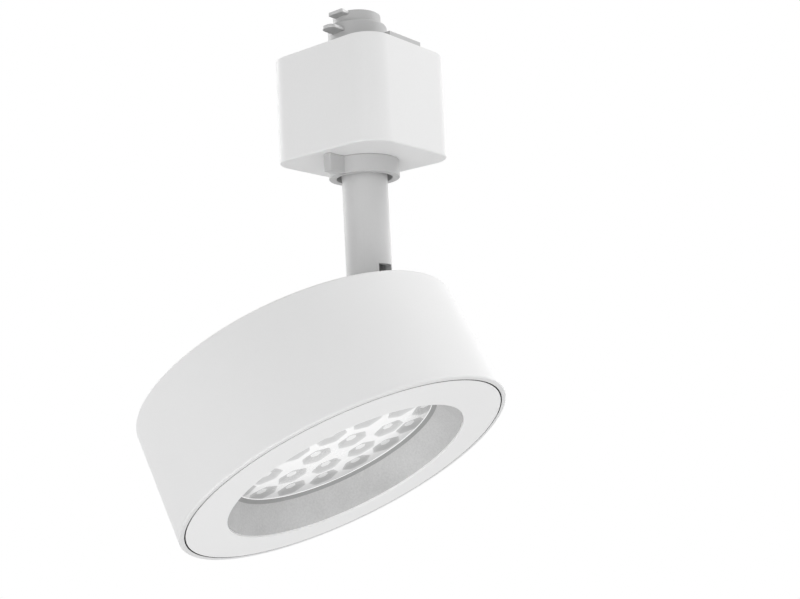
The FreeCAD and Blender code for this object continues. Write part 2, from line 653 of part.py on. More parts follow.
def make_pivot():
    screw = new_body("pivot_screw")
    seat = "flat_from_axis"
    turned(screw, [("0", f"-{seat} - pivot_head_high"), ("pivot_head", f"-{seat} - pivot_head_high"),
                   ("pivot_head", f"-{seat}"), ("pivot_shank", f"-{seat}"),
                   ("pivot_shank", "pivot_end"), ("0", "pivot_end")])
    recess = draw_polygon(new_sketch(screw, lift=f"-{seat} - pivot_head_high"), hexagon("cross_reach"))
    pocket(screw, recess, "cross_deep", reverse=True)
    along_x(screw)
    nut = new_body("pivot_nut")
    sketch = draw_polygon(new_sketch(nut, lift=seat), hexagon("pivot_head"))
    draw_circle(sketch, "pivot_shank + thread_gap")
    pad(nut, sketch, "pivot_head_high")
    along_x(nut)
    for number, side in enumerate((-1, 1), start=1):
        washer = new_body(f"brake_washer_{number}")
        outer, inner = f"{side} * slot_width / 2", f"{side} * (slot_width / 2 - brake_thick)"
        bore = "pivot_shank + thread_gap"
        turned(washer, [(bore, outer), ("brake_radius", outer), ("brake_radius", inner), (bore, inner)])
        along_x(washer)


def make_stem_cable():
    body = new_body("stem_cable")
    low = "pivot_level + lug_radius + cable_gap"
    pad(body, draw_circle(new_sketch(body, lift=low), "cable_radius"), f"cable_top - ({low})")
    bush = new_body("cable_bush")
    seat, foot = "journal_top", "journal_top - bush_deep"
    top, inner = f"{seat} + bush_flange", "cable_radius + thread_gap"
    turned(bush, [(inner, foot), ("stem_bore - thread_gap", foot), ("stem_bore - thread_gap", seat),
                  ("bush_rim", seat), ("bush_rim", top), (inner, top)])


# ---------------------------------------------------------------- head
# Head pieces are drawn with the front face on the XY plane and the back towards +Z; the pivot is on -Y.


def make_shell():
    body = new_body("head_shell", on_head=True)
    inner, band = "head_radius - shell_wall", "head_radius - band_wall"
    shape = turned(body, [("head_radius", "0"), ("head_radius", "head_depth"), (inner, "head_depth"),
                          (inner, "band_back"), (band, "band_back"), (band, "band_front"),
                          (inner, "band_front"), (inner, "0")])
    radius, depth = size("head_radius"), size("head_depth")
    front = fillet(body, shape, lambda edge: round_edge_at(edge, radius, 0), "head_edge")
    fillet(body, front, lambda edge: round_edge_at(edge, radius, depth), "head_edge")
    base = new_sketch(body, lift="band_front + post_gap")
    post = draw_circle(base, "post_radius", "0", "cover_screw_place + post_shift")
    column = pad(body, post, "band_back - band_front - post_gap")
    repeat_round(body, column, "3")
    bore = draw_circle(new_sketch(body, lift="band_back"), "screw_hole", "0", "cover_screw_place")
    repeat_round(body, pocket(body, bore, "post_bore"), "3")


def make_bezel():
    body = new_body("front_bezel", on_head=True)
    outer = "head_radius - shell_wall - rim_gap"
    skirt = f"{outer} - bezel_thick"
    lip = "mouth_radius + bezel_lip_width"
    shape = turned(body, [("mouth_radius", "0"), (outer, "0"), (outer, "bezel_skirt"),
                          (skirt, "bezel_skirt"), (skirt, "bezel_thick"), (lip, "bezel_thick"),
                          (lip, "bezel_lip"), ("mouth_radius", "bezel_lip")])
    fillet(body, shape, lambda edge: edge.BoundBox.ZMax < 1e-4, "bezel_edge")


def make_baffle():
    """Tapered ring between the bezel's mouth and the lens, with the flange that holds the lens down."""
    body = new_body("baffle_cone", on_head=True)
    slope = "(mouth_radius - throat_radius) / throat_depth"
    front = f"mouth_radius - {slope} * bezel_lip"
    flange = "lens_radius + lens_gap + holder_wall"
    turn, seat = f"throat_radius + baffle_wall + {slope} * baffle_flange", "throat_depth - baffle_flange"
    turned(body, [(front, "bezel_lip"), (f"{front} + baffle_wall", "bezel_lip"), (turn, seat),
                  (flange, seat), (flange, "throat_depth"), ("throat_radius", "throat_depth")])


def make_lens_parts():
    ring = new_body("lens_ring", on_head=True)
    back = "throat_depth + ring_thick"
    turned(ring, [("throat_radius", "throat_depth"), ("lens_radius", "throat_depth"),
                  ("lens_radius", back), ("ring_radius", back), ("ring_radius", f"{back} - ring_thick / 4")])
    holder = new_body("lens_holder", on_head=True)
    inner = "lens_radius + lens_gap"
    turned(holder, [(inner, "throat_depth"), (f"{inner} + holder_wall", "throat_depth"),
                    (f"{inner} + holder_wall", "board_depth"), (inner, "board_depth")])


def cell_spots():
    """Middle of each lens cell: one at the centre and three rings round it."""
    spots = [("0", "0")]
    for ring, phase, count in CELL_RINGS:
        for i in range(count):
            turn = math.radians(size(phase) + 360 * i / count)
            spots.append((f"{ring} * {math.cos(turn):.6f}", f"{ring} * {math.sin(turn):.6f}"))
    return spots


def make_lens():
    """Clear moulded plate with a tapered collimator behind each lamp chip."""
    front = "throat_depth + ring_thick"
    back = f"{front} + lens_thick"
    plate = rod("lens_radius", front, back)
    cells = []
    for across, along in cell_spots():
        cell = doc.addObject("Part::Cone", "cell")
        bind(cell, Radius1="cell_front", Radius2="cell_back", Height="cell_high + cell_root",
             Placement__Base__x=across, Placement__Base__y=along, Placement__Base__z=f"{back} - cell_root")
        cells.append(cell)
    envelope = rod("lens_radius", front, f"{back} + cell_high")
    keep(common(join([plate] + cells), envelope), "lens_array", True)


def make_lamp_board():
    body = new_body("lamp_board", on_head=True)
    pad(body, draw_circle(new_sketch(body, lift="board_depth"), "board_radius"), "board_thick")
    half = "chip_size / 2"
    middle = rectangle("-" + half, half, "-" + half, half)
    chip = draw_polygon(new_sketch(body, lift="board_depth"), middle)
    pad(body, chip, "chip_high", reverse=True)
    for ring, phase, count in CELL_RINGS:
        sketch = new_sketch(body, lift="board_depth", turn=size(phase))
        chip = draw_polygon(sketch, rectangle(f"{ring} - {half}", f"{ring} + {half}", "-" + half, half))
        repeat_round(body, pad(body, chip, "chip_high", reverse=True), str(count))
    hole = draw_circle(new_sketch(body, lift="board_depth"), "screw_hole", "0", "board_screw_place")
    repeat_round(body, pocket(body, hole, "board_thick", reverse=True), "3")


def make_heat_sink():
    body = new_body("heat_sink", on_head=True)
    front = "board_depth + board_thick"
    plate = draw_circle(new_sketch(body, lift=front), "head_radius - shell_wall - rim_gap")
    pad(body, plate, f"band_front - ({front})")
    hub = draw_circle(new_sketch(body, lift="band_front"), "sink_hub")
    pad(body, hub, "fin_back - band_front")
    start = -(size("fin_sweep") - 180) / 2
    outline = rectangle("fin_inner", "fin_outer", "-fin_thick / 2", "fin_thick / 2")
    fin = draw_polygon(new_sketch(body, lift="band_front", turn=start), outline)
    repeat_round(body, pad(body, fin, "fin_back - band_front"), "fin_count", "fin_sweep")
    hole = draw_circle(new_sketch(body, lift=front), "screw_hole", "0", "board_screw_place")
    repeat_round(body, pocket(body, hole, f"band_front - ({front})", reverse=True), "3")


def ring_place(radius, turn, height, flip=False):
    """Place on the head at a turn from +Y, with the piece's Z along or against the head's."""
    spin = Rotation(Vector(0, 0, 1), turn)
    spot = spin.multVec(Vector(0, radius, 0)) + Vector(0, 0, height)
    return Placement(spot, Rotation(Vector(1, 0, 0), 180) if flip else Rotation())


def make_head_screws():
    cover_seat = size("head_depth") - size("screw_high")
    for i in range(3):
        place = ring_place(size("cover_screw_place"), 120 * i, cover_seat)
        make_screw(f"cover_screw_{i + 1}", place, True, "cover_screw_length")
        place = ring_place(size("board_screw_place"), 120 * i, size("board_depth"), flip=True)
        make_screw(f"board_screw_{i + 1}", place, True, "board_screw_length")


def make_cover():
    """Back cover with vents, three screw posts and the well that the stem leans into."""
    outer = "head_radius - shell_wall - rim_gap"
    plate_low = "head_depth - cover_thick"
    inside = rod(f"{outer} - cover_skirt", "band_back", plate_low)
    cup = cut(rod(outer, "band_back", "head_depth"), inside)
    near, far = "-pivot_back - well_near", "-pivot_back + well_far"
    side = "well_half + well_wall"
    box = block(f"-({side})", side, f"{near} - well_wall", f"{far} + well_wall", "band_back", "head_depth")
    solids = [cup, common(box, rod(outer, "band_back", "head_depth"))]
    cuts = []
    for i in range(3):
        turn = math.radians(90 + 120 * i)
        spot = (f"cover_screw_place * {math.cos(turn):.6f}", f"cover_screw_place * {math.sin(turn):.6f}")
        solids.append(rod("post_radius", "band_back", plate_low, *spot))
        cuts.append(rod("screw_hole", "band_back", "head_depth", *spot))
        cuts.append(rod("screw_head + lid_gap", "head_depth - screw_high", "head_depth + spare", *spot))
    well = new_body("well_tool")
    pieces.remove(well)
    outline = rectangle("-well_half", "well_half", near, far)
    sketch = draw_polygon(new_sketch(well, lift="band_back + well_floor"), outline)
    fillet(well, pad(well, sketch, "head_depth - band_back"), upright, "well_corner")
    across, along = "lug_thick / 2 + lug_slack", "lug_radius + lug_slack"
    cuts.append(well)
    cuts.append(block(f"-({across})", across, f"-pivot_back - ({along})", f"-pivot_back + {along}",
                      "band_back - spare", "head_depth"))
    for across in ("-lug_screw_x", "lug_screw_x"):
        cuts.append(rod("screw_hole", "band_back - spare", "band_back + well_floor + spare",
                        across, "-pivot_back - lug_screw_y"))
    vent_low = size("head_depth") - size("cover_thick") - size("spare")
    for i in range(-VENTS_A_SIDE, VENTS_A_SIDE + 1):
        vent = doc.addObject("Part::Box", "vent")
        bind(vent, Length="vent_outer - vent_inner", Width="vent_width", Height="cover_thick + 2 * spare")
        spin = Rotation(Vector(0, 0, 1), 90 + size("vent_turn") * i)
        spot = spin.multVec(Vector(size("vent_inner"), -size("vent_width") / 2, vent_low))
        vent.Placement = Placement(spot, spin)
        cuts.append(vent)
    keep(cut(join(solids), join(cuts)), "back_cover", True)


def make_lug():
    """Flat lug that stands in the stem's slot, held by a flange below the well's floor."""
    pivot_depth = "head_depth + pivot_above"
    flange_low = "band_back - lug_flange"
    near, far = "-pivot_back - lug_radius", "-pivot_back + lug_radius"
    blade = block("-lug_thick / 2", "lug_thick / 2", near, far, flange_low, pivot_depth)
    near, far = "-pivot_back - lug_flange_y", "-pivot_back + lug_flange_y"
    flange = block("-lug_flange_x", "lug_flange_x", near, far, flange_low, "band_back")
    eye = doc.addObject("Part::Cylinder", "eye")
    bind(eye, Radius="lug_radius", Height="lug_thick", Placement__Base__x="-lug_thick / 2",
         Placement__Base__y="-pivot_back", Placement__Base__z=pivot_depth)
    eye.Placement.Rotation = Rotation(Vector(0, 1, 0), 90)
    hole = doc.addObject("Part::Cylinder", "hole")
    bind(hole, Radius="pivot_shank + turn_gap", Height="2 * lug_thick", Placement__Base__x="-lug_thick",
         Placement__Base__y="-pivot_back", Placement__Base__z=pivot_depth)
    hole.Placement.Rotation = Rotation(Vector(0, 1, 0), 90)
    cuts = [hole, rod("channel_radius", f"{flange_low} - spare", f"{pivot_depth} + lug_radius", "0",
                      "-pivot_back + channel_place")]
    for side in (-1, 1):
        cuts.append(rod("screw_hole", f"{flange_low} - spare", "band_back + spare",
                        f"{side} * lug_screw_x", "-pivot_back - lug_screw_y"))
    keep(cut(join([blade, flange, eye]), join(cuts)), "tilt_lug", True)
    across, along = size("lug_screw_x"), -size("pivot_back") - size("lug_screw_y")
    low = size("band_back") - size("lug_flange")
    for number, side in enumerate((-1, 1), start=1):
        place = Placement(Vector(side * across, along, low), Rotation(Vector(1, 0, 0), 180))
        make_screw(f"lug_screw_{number}", place, True, "lug_screw_length")


def make_head_wiring():
    cable = new_body("head_cable", on_head=True)
    low, middle = "band_front + terminal_high", "-pivot_back + channel_place"
    sketch = draw_circle(new_sketch(cable, lift=low), "channel_radius - channel_slack", "0", middle)
    pad(cable, sketch, f"head_depth + pivot_above + lug_radius - channel_rest - ({low})")
    terminal = new_body("terminal_block", on_head=True)
    near, far = f"{middle} - terminal_near", f"{middle} + terminal_far"
    outline = rectangle("-terminal_half", "terminal_half", near, far)
    pad(terminal, draw_polygon(new_sketch(terminal, lift="band_front"), outline), "terminal_high")


def make_driver():
    body = new_body("driver_board", on_head=True)
    outline = rectangle("-driver_half", "driver_half", "driver_near", "driver_far")
    pad(body, draw_polygon(new_sketch(body, lift="driver_level"), outline), "driver_thick")
    for side in (-1, 1):
        for along in ("driver_near + foot_inset", "driver_far - foot_inset"):
            foot = draw_circle(new_sketch(body, lift="driver_level"), "foot_radius",
                               f"{side} * (driver_half - foot_inset)", along)
            pad(body, foot, "driver_level - fin_back", reverse=True)
    for label, left, right, near, far, high in DRIVER_PARTS:
        item = new_body(label, on_head=True)
        outline = rectangle(left, right, f"driver_near + {near}", f"driver_near + {far}")
        sketch = new_sketch(item, lift="driver_level + driver_thick")
        pad(item, draw_polygon(sketch, outline), high)


def place_head():
    """Turn the head about its pivot to the rest tilt and hang it on the stem's pivot."""
    own = Vector(0, -size("pivot_back"), size("head_depth") + size("pivot_above"))
    pivot = Vector(0, 0, size("pivot_level"))
    to_row = Placement(pivot - own, Rotation(Vector(1, 0, 0), -size("tilt_rest")), own)
    for piece in head_pieces:
        piece.Placement = to_row.multiply(piece.Placement)


# ---------------------------------------------------------------- build and write


def check_and_write():
    doc.recompute()
    for item in doc.Objects:
        if "Invalid" in item.State or "Error" in item.State:
            raise RuntimeError(f"{item.Label} ({item.Name}) failed: {item.State}")
    for piece in pieces:
        shape = piece.Shape
        if shape.isNull() or not shape.isValid() or len(shape.Solids) != 1:
            raise RuntimeError(f"{piece.Label} is not one valid solid: {len(shape.Solids)} solids")
    os.makedirs("parts", exist_ok=True)
    for piece in pieces:
        piece.Shape.exportStep(f"parts/{piece.Label}.step")
    print(len(pieces), "pieces written")


def main():
    fill_sheet()
    make_housing()
    make_lid()
    make_bridge()
    make_adapter_screws()
    make_collar()
    make_yoke()
    make_turret()
    make_contact("live_contact", "live_level", "live_reach", "live_half", "live_round")
    make_contact("neutral_contact", "neutral_level", "neutral_reach", "neutral_half", "neutral_round")
    make_stem()
    make_stem_washers()
    make_clip()
    make_pivot()
    make_stem_cable()
    make_shell()
    make_bezel()
    make_baffle()
    make_lens_parts()
    make_lens()
    make_lamp_board()
    make_heat_sink()
    make_head_screws()
    make_cover()
    make_lug()
    make_head_wiring()
    make_driver()
    doc.recompute()
    place_head()
    check_and_write()


main()
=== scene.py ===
"""Finished look of the track spotlight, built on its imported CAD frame."""

import math

import bmesh
import bpy
from mathutils import Matrix, Vector


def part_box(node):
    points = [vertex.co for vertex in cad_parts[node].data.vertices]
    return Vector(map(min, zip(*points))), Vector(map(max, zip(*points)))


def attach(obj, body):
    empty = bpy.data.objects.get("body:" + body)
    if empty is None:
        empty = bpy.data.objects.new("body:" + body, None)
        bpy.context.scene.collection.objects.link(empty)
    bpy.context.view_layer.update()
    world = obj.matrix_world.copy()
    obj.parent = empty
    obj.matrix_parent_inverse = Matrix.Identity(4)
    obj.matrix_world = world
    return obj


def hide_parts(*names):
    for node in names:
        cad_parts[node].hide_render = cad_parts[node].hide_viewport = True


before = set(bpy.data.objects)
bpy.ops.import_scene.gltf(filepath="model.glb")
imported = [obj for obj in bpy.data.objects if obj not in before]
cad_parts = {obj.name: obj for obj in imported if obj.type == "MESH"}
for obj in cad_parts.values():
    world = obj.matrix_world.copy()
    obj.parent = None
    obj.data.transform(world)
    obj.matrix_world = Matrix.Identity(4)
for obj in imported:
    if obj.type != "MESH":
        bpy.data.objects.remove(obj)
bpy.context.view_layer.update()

bl_info = {
    "name": "Track spotlight",
    "version": (1, 0, 0),
    "blender": (4, 5, 0),
    "location": "3D View > Sidebar > Spotlight",
    "description": "Builds the finished pieces of a track spotlight on its CAD frame",
    "category": "Object",
}

MM = 0.001
AXIS = Vector((0.0, 0.0, 1.0))
ROUND = 96

# Distances in m: at most NEAR from a level counts as on it, closer than MERGE is joined
NEAR = 1e-5
MERGE = 1e-6
CAD_MERGE = 2e-6

# Least angle of an edge that counts as a rim, and greatest that is shaded smooth, in radians
SHARP = 1.0
SMOOTH = math.radians(40.0)

# Pieces that are copies of their CAD nodes with softened edges: node, body, slot, edge rounding in mm
SOFTENED = {
    "adapter_lid": ("adapter", "grey_plastic", 0.15),
    "lid_screw_1": ("adapter", "steel", 0.05),
    "lid_screw_2": ("adapter", "steel", 0.05),
    "stem_tube": ("stem", "grey_paint", 0.1),
    "pivot_screw": ("stem", "steel", 0.1),
    "pivot_nut": ("stem", "steel", 0.1),
    "back_cover": ("head", "white_paint", 0.15),
    "tilt_lug": ("head", "steel", 0.12),
    "cover_screw_1": ("head", "steel", 0.05),
    "cover_screw_2": ("head", "steel", 0.05),
    "cover_screw_3": ("head", "steel", 0.05),
}

# CAD nodes that stay as they are, with the finish of their slot
CAD_FINISHES = {
    "steel": (
        "bridge_screw_1", "bridge_screw_2", "thrust_washer", "spring_washer", "stem_clip",
        "brake_washer_1", "brake_washer_2", "lug_screw_1", "lug_screw_2",
        "board_screw_1", "board_screw_2", "board_screw_3",
    ),
    "grey_plastic": ("stem_bridge", "lock_yoke"),
    "holder_plastic": ("lens_holder",),
    "lamp_board": ("lamp_board",),
    "bare_aluminium": ("heat_sink",),
    "terminal_plastic": ("terminal_block", "cable_bush"),
    "circuit_board": ("driver_board",),
    "black_plastic": ("driver_choke", "driver_chip", "driver_capacitor"),
    "cable_sheath": ("stem_cable", "head_cable"),
}

# Rings of lens cells: radius in mm, turn of the first cell in degrees, number of cells
CELL_RINGS = ((0.0, 0.0, 1), (11.2, 12.0, 6), (22.2, 21.5, 12), (31.4, 12.0, 18))

# Start of the gap walls behind the front face that are painted dark as painted shade in the gap line, and the
# colour of that painted shade
GAP_SHADE_START = 0.2 * MM
GAP_SHADE_TONE = (0.05, 0.05, 0.05)
# Strength of the painted glow of the lens cells, painted light from a part that is no lamp
LENS_GLOW = 0.75

# Floor and world of the stage, with the light they give and the brightness they are seen at
FLOOR_RADIUS = 4.0
FLOOR_LEVEL = -1.3
FLOOR_GLOW = 0.6
WORLD_LIGHT = 0.4
WORLD_SEEN = 1.0

# Lamps of the stage: name, place, power
LAMPS = (
    ("left", (-1.0, 0.0, -0.05), 1.0),
    ("front_left", (-0.75, -0.75, -0.05), 1.0),
    ("low_left", (-0.85, -0.2, -0.5), 3.2),
    ("front_right", (0.9, -0.6, -0.05), 1.5),
    ("right", (1.05, 0.0, -0.05), 1.9),
    ("low_front", (0.1, -0.85, -0.5), 1.5),
    ("high_right", (0.6, -0.5, 0.6), 4.8),
    ("back", (0.0, 1.0, 0.35), 4.5),
)
LAMP_WIDTH = 0.7
LAMP_AIM = Vector((0.0, 0.01, -0.08))

CAMERA_PLACE = (-0.23009, -0.19260, -0.10262)
CAMERA_AHEAD = Vector((0.778646, 0.617072, 0.113721))
CAMERA_ROLL = math.radians(-3.044)
CAMERA_LENS = 49.43


def millimetres(value, name, description):
    return bpy.props.FloatProperty(
        name=name, description=description, default=value * MM, unit="LENGTH", subtype="DISTANCE"
    )


def colour(value, name, description):
    return bpy.props.FloatVectorProperty(
        name=name, description=description, default=value, size=3, subtype="COLOR", min=0.0, max=1.0
    )


class SpotlightSizes(bpy.types.PropertyGroup):
    """Sizes of the modelled pieces."""

    box_x: millimetres(35.9, "Box length", "Adapter box along the track")
    box_y: millimetres(38.3, "Box width", "Adapter box across the track")
    box_height: millimetres(29.2, "Box height", "Adapter box below its rim")
    box_corner: millimetres(7.3, "Box corner", "Radius of the box's upright corners")
    box_edge: millimetres(0.5, "Box edge", "Rounding of the box's lower edge")
    box_wall: millimetres(1.7, "Box wall", "Wall of the adapter box")
    box_floor: millimetres(2.0, "Box floor", "Floor of the adapter box")
    box_hole: millimetres(9.26, "Box hole", "Hole in the box's floor for the collar")

    collar_radius: millimetres(9.87, "Collar radius", "Outside of the lock collar")
    collar_bore: millimetres(7.79, "Collar bore", "Inside of the lock collar")
    collar_neck: millimetres(9.2, "Collar neck", "Neck of the collar in the box's floor")
    collar_low: millimetres(-34.05, "Collar foot", "Lower face of the collar")
    collar_high: millimetres(-29.22, "Collar shoulder", "Shoulder of the collar")
    collar_top: millimetres(-24.75, "Collar top", "Upper end of the collar's neck")
    lever_reach: millimetres(15.5, "Lever reach", "Tip of the lever from the axis")
    lever_half: millimetres(1.3, "Lever half width", "Half the width of the lever")

    turret_radius: millimetres(8.35, "Lower turret", "Radius of the lower turret")
    turret_neck: millimetres(6.75, "Upper turret", "Radius of the upper turret")
    turret_step: millimetres(9.4, "Turret step", "Shoulder of the turret")
    turret_top: millimetres(12.5, "Turret top", "Top of the turret")
    flange_radius: millimetres(12.7, "Turret flange", "Radius of the turret's flange")
    flange_top: millimetres(-7.0, "Flange top", "Upper face of the turret's flange")
    flange_low: millimetres(-9.0, "Flange foot", "Lower face of the turret's flange")
    blade_thick: millimetres(1.0, "Blade", "Thickness of the contact blades")

    head_radius: millimetres(49.0, "Head radius", "Outside of the head")
    head_depth: millimetres(33.9, "Head depth", "Head from front to back")
    head_edge: millimetres(0.6, "Head edge", "Rounding of the head's edges")
    head_wall: millimetres(1.5, "Head wall", "Wall of the head's shell")
    rim_gap: millimetres(0.36, "Gap line", "Gap between the shell and the bezel")
    bezel_thick: millimetres(1.6, "Bezel", "Thickness of the bezel's face")
    bezel_skirt: millimetres(8.0, "Bezel skirt", "Depth of the bezel's skirt")
    mouth_radius: millimetres(35.5, "Mouth", "Opening of the bezel")
    throat_radius: millimetres(31.4, "Throat", "Narrow end of the baffle")
    throat_depth: millimetres(8.5, "Throat depth", "Depth of the baffle")
    ring_radius: millimetres(30.4, "Lens ring", "Opening of the lens ring")
    lens_radius: millimetres(37.3, "Lens", "Radius of the lens plate")

    cell_radius: millimetres(5.2, "Cell", "Middle to corner of a lens cell")
    cell_round: millimetres(0.9, "Cell corner", "Rounding of a lens cell's corners")
    cell_depth: millimetres(0.85, "Cell depth", "Depth of a lens cell")
    cell_eye: millimetres(1.6, "Cell eye", "Radius of the round eye in a lens cell")
    web_level: millimetres(11.7, "Web level", "Front of the webs between the cells")


class SpotlightColours(bpy.types.PropertyGroup):
    """Colours of the finishes."""

    white: colour((0.87, 0.87, 0.87), "White", "Powder coat of the head")
    # Painted light: the front ring has the head's white paint, set lighter here to stand for the light on its
    # downward front face
    lit_ring_white: colour((0.96, 0.96, 0.96), "Ring white", "Powder coat of the front ring")
    box_white: colour((0.86, 0.86, 0.86), "Box white", "Moulded adapter box")
    grey: colour((0.54, 0.54, 0.54), "Grey", "Moulded lock parts")
    stem_grey: colour((0.61, 0.61, 0.61), "Stem grey", "Powder coat of the stem")
    baffle: colour((0.62, 0.62, 0.62), "Baffle", "Sand finish of the baffle")
    ring: colour((0.38, 0.38, 0.38), "Ring", "Ring that frames the lens")
    # Painted shade: the lens cells' walls are given a darker grey to stand for the shade down in the cells
    cell: colour((0.38, 0.38, 0.38), "Cell", "Walls of the lens cells")
    # Painted light: the webs of the same moulding are given a lighter tone to stand for the light on them
    lit_web: colour((0.63, 0.63, 0.63), "Web", "Webs between the lens cells")
    steel: colour((0.60, 0.60, 0.61), "Steel", "Zinc plated steel")
    aluminium: colour((0.72, 0.72, 0.73), "Aluminium", "Bare aluminium")


class SpotlightPlaces(bpy.types.PropertyGroup):
    """Placing of the head."""

    pivot_level: millimetres(-67.9, "Pivot", "Height of the tilt pivot")
    pivot_back: millimetres(32.8, "Pivot offset", "Pivot from the head's axis")
    pivot_above: millimetres(1.95, "Pivot above", "Pivot above the head's back face")
    tilt: bpy.props.FloatProperty(
        name="Tilt", description="Tilt of the head at rest, from straight down",
        default=math.radians(29.4), unit="ROTATION", subtype="ANGLE",
    )


# ---------------------------------------------------------------- shared mesh steps


def head_place(places, sizes):
    """From the head's own space, front face on the ground plane and back upwards, to the shared frame."""
    own = Vector((0.0, places.pivot_back, -sizes.head_depth - places.pivot_above))
    return (
        Matrix.Translation((0.0, 0.0, places.pivot_level))
        @ Matrix.Rotation(-places.tilt, 4, "X")
        @ Matrix.Translation(own)
    )


def turned(bm, outline, steps=ROUND):
    """Full turn about Z of a closed outline, or of one whose ends lie on the axis."""
    corners = [bm.verts.new((radius, 0.0, height)) for radius, height in outline]
    edges = [bm.edges.new(pair) for pair in zip(corners, corners[1:])]
    if outline[0][0] > 0.0 or outline[-1][0] > 0.0:
        edges.append(bm.edges.new((corners[-1], corners[0])))
    bmesh.ops.spin(
        bm, geom=corners + edges, cent=(0, 0, 0), axis=AXIS, dvec=(0, 0, 0),
        angle=math.tau, steps=steps, use_merge=True, use_duplicate=False,
    )
    bmesh.ops.remove_doubles(bm, verts=bm.verts, dist=MERGE)
    bmesh.ops.recalc_face_normals(bm, faces=bm.faces)


def add_part(bm, other):
    """Add another bmesh to this one and free it."""
    part = bpy.data.meshes.new("part")
    other.to_mesh(part)
    other.free()
    bm.from_mesh(part)
    bpy.data.meshes.remove(part)


def rounded(bm, geom, amount, segments, affect="EDGES"):
    """Round the given edges or corners."""
    bmesh.ops.bevel(
        bm, geom=geom, offset=amount, offset_type="OFFSET", segments=segments,
        profile=0.5, affect=affect, clamp_overlap=True, material=-1,
    )


def soften(bm, amount, segments=2, least=30.0):
    """Round every edge that turns more than `least` degrees."""
    sharp = [
        e for e in bm.edges
        if len(e.link_faces) == 2 and e.calc_face_angle(0.0) > math.radians(least)
    ]
    if sharp:
        rounded(bm, sharp, amount, segments)


def bar(bm, low, high, corner=0.0, corner_steps=12):
    """Block between two corners, with its upright edges rounded."""
    middle = (Vector(low) + Vector(high)) / 2
    spread = Vector(high) - Vector(low)
    made = bmesh.ops.create_cube(bm, size=1.0)["verts"]
    bmesh.ops.scale(bm, vec=spread, verts=made)
    bmesh.ops.translate(bm, vec=middle, verts=made)
    if corner:
        edges = {e for v in made for f in v.link_faces for e in f.edges}
        upright = [e for e in edges if abs(e.verts[0].co.z - e.verts[1].co.z) > spread.z / 2]
        rounded(bm, upright, corner, corner_steps)


def tip_edges(bm, end):
    """Upright edges of a bar at its end towards -X."""
    return [
        e for e in bm.edges
        if all(v.co.x < end + NEAR for v in e.verts) and abs(e.verts[0].co.z - e.verts[1].co.z) > NEAR
    ]


def rim_edges(bm, chosen):
    """Sharp edges with both ends chosen."""
    return [
        e for e in bm.edges
        if all(chosen(v) for v in e.verts) and e.calc_face_angle(0.0) > SHARP
    ]


def mark_verts(bm, name, chosen):
    """Paint the chosen vertices with a mark that the finish reads."""
    mark = bm.verts.layers.float.new(name)
    for v in bm.verts:
        if chosen(v):
            v[mark] = 1.0


def finish_piece(bm, name, body, nodes, slot, place=None, finish=None):
    """Turn a bmesh into a piece that rides on a body in place of its CAD nodes."""
    if place is not None:
        bmesh.ops.transform(bm, matrix=place, verts=bm.verts)
    for face in bm.faces:
        face.smooth = True
    for edge in bm.edges:
        edge.smooth = len(edge.link_faces) == 2 and edge.calc_face_angle(0.0) < SMOOTH
    mesh = bpy.data.meshes.new(name)
    bm.to_mesh(mesh)
    bm.free()
    mesh.materials.append(finish_for(finish or slot))
    piece = bpy.data.objects.new(name, mesh)
    bpy.context.scene.collection.objects.link(piece)
    even = piece.modifiers.new("even_shading", "WEIGHTED_NORMAL")
    even.mode = "FACE_AREA"
    even.keep_sharp = True
    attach(piece, body)
    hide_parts(*nodes)


# ---------------------------------------------------------------- shared shader steps


def socket(group, name, direction, kind, default=None):
    made = group.interface.new_socket(name=name, in_out=direction, socket_type=kind)
    if default is not None:
        made.default_value = default


def coat_grain_group():
    """Fine orange-peel grain of a coat or moulding, with slow changes of tone over the surface."""
    name = "coat_grain"
    if name in bpy.data.node_groups:
        return bpy.data.node_groups[name]
    group = bpy.data.node_groups.new(name, "ShaderNodeTree")
    socket(group, "Scale", "INPUT", "NodeSocketFloat", 2500.0)
    socket(group, "Coarse scale", "INPUT", "NodeSocketFloat", 40.0)
    socket(group, "Height", "OUTPUT", "NodeSocketFloat")
    socket(group, "Tone", "OUTPUT", "NodeSocketFloat")
    nodes, links = group.nodes, group.links
    given = nodes.new("NodeGroupInput")
    result = nodes.new("NodeGroupOutput")
    place = nodes.new("ShaderNodeTexCoord")
    fine = nodes.new("ShaderNodeTexNoise")
    fine.inputs["Detail"].default_value = 3.0
    fine.inputs["Roughness"].default_value = 0.6
    coarse = nodes.new("ShaderNodeTexNoise")
    coarse.inputs["Detail"].default_value = 2.0
    blend = nodes.new("ShaderNodeMath")
    blend.operation = "MULTIPLY_ADD"
    blend.inputs[1].default_value = 0.45
    links.new(place.outputs["Object"], fine.inputs["Vector"])
    links.new(place.outputs["Object"], coarse.inputs["Vector"])
    links.new(given.outputs["Scale"], fine.inputs["Scale"])
    links.new(given.outputs["Coarse scale"], coarse.inputs["Scale"])
    links.new(fine.outputs["Fac"], result.inputs["Height"])
    links.new(fine.outputs["Fac"], blend.inputs[0])
    half = nodes.new("ShaderNodeMath")
    half.operation = "MULTIPLY"
    half.inputs[1].default_value = 0.55
    links.new(coarse.outputs["Fac"], half.inputs[0])
    links.new(half.outputs["Value"], blend.inputs[2])
    links.new(blend.outputs["Value"], result.inputs["Tone"])
    return group


